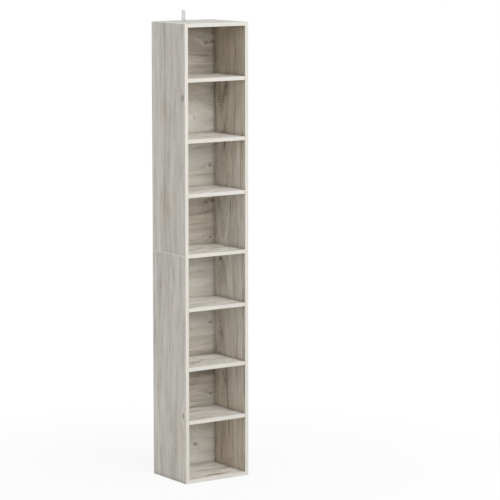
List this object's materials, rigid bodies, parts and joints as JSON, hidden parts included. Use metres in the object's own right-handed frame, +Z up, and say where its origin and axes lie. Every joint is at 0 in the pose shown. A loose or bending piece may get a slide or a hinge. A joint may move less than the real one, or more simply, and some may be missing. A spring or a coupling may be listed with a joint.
{
  "type": "narrow bookshelf",
  "caption": "Tall narrow open bookshelf of flat boards with stacked compartments, loose shelves on pins, a thin back and a small bracket on top for fixing it to a wall.",
  "frame": {"origin": "on the floor, under the middle of the bookshelf's box", "axes": "+Z up, the open front faces -Y, +X to the right as seen from the front"},
  "size_m": [0.295, 0.236, 1.84],
  "materials": {
    "oak_print_board": "particleboard in whitewashed grey-oak print, matte",
    "oak_print_hardboard": "thin hardboard, printed grey oak on the front, bare behind",
    "edge_band": "pale grained plastic edge band",
    "beech": "fluted beech dowel",
    "plated_steel": "zinc plated",
    "die_cast_zinc": "die-cast zinc",
    "cover_film": "stick-on cover in the colour of the board",
    "white_plastic": "extruded plastic",
    "white_steel": "white powder coat"
  },
  "bodies": {
    "carcass": {"side_left_upper": "oak_print_board", "side_left_lower": "oak_print_board", "side_right_upper": "oak_print_board", "side_right_lower": "oak_print_board", "top_panel": "oak_print_board", "bottom_panel": "oak_print_board", "middle_shelf": "oak_print_board", "back_panel_upper": "oak_print_hardboard", "back_panel_lower": "oak_print_hardboard", "band_side_left_upper": "edge_band", "band_side_left_lower": "edge_band", "band_side_right_upper": "edge_band", "band_side_right_lower": "edge_band", "band_top_panel": "edge_band", "band_bottom_panel": "edge_band", "band_middle_shelf": "edge_band", "side_end_bands": "edge_band", "panel_dowels": "beech", "middle_shelf_dowels": "beech", "seam_dowels": "beech", "cam_bolts": "plated_steel", "seam_plate_left": "plated_steel", "seam_plate_right": "plated_steel", "seam_plate_screws": "plated_steel", "bracket_screw": "plated_steel", "shelf_pins_1": "plated_steel", "shelf_pins_2": "plated_steel", "shelf_pins_3": "plated_steel", "shelf_pins_4": "plated_steel", "shelf_pins_5": "plated_steel", "shelf_pins_6": "plated_steel", "cam_discs": "die_cast_zinc", "cam_covers": "cover_film", "back_joiner_strip": "white_plastic", "wall_bracket": "white_steel"},
    "loose_shelf_1": {"shelf_1": "oak_print_board", "band_shelf_1": "edge_band"},
    "loose_shelf_2": {"shelf_2": "oak_print_board", "band_shelf_2": "edge_band"},
    "loose_shelf_3": {"shelf_3": "oak_print_board", "band_shelf_3": "edge_band"},
    "loose_shelf_4": {"shelf_4": "oak_print_board", "band_shelf_4": "edge_band"},
    "loose_shelf_5": {"shelf_5": "oak_print_board", "band_shelf_5": "edge_band"},
    "loose_shelf_6": {"shelf_6": "oak_print_board", "band_shelf_6": "edge_band"}
  },
  "joints": [
    {"name": "shelf_1_draw", "type": "slide", "parent": "carcass", "child": "loose_shelf_1", "axis": [0, -1, 0], "range_m": [0, 0.24]},
    {"name": "shelf_2_draw", "type": "slide", "parent": "carcass", "child": "loose_shelf_2", "axis": [0, -1, 0], "range_m": [0, 0.24]},
    {"name": "shelf_3_draw", "type": "slide", "parent": "carcass", "child": "loose_shelf_3", "axis": [0, -1, 0], "range_m": [0, 0.24]},
    {"name": "shelf_4_draw", "type": "slide", "parent": "carcass", "child": "loose_shelf_4", "axis": [0, -1, 0], "range_m": [0, 0.24]},
    {"name": "shelf_5_draw", "type": "slide", "parent": "carcass", "child": "loose_shelf_5", "axis": [0, -1, 0], "range_m": [0, 0.24]},
    {"name": "shelf_6_draw", "type": "slide", "parent": "carcass", "child": "loose_shelf_6", "axis": [0, -1, 0], "range_m": [0, 0.24]}
  ]
}
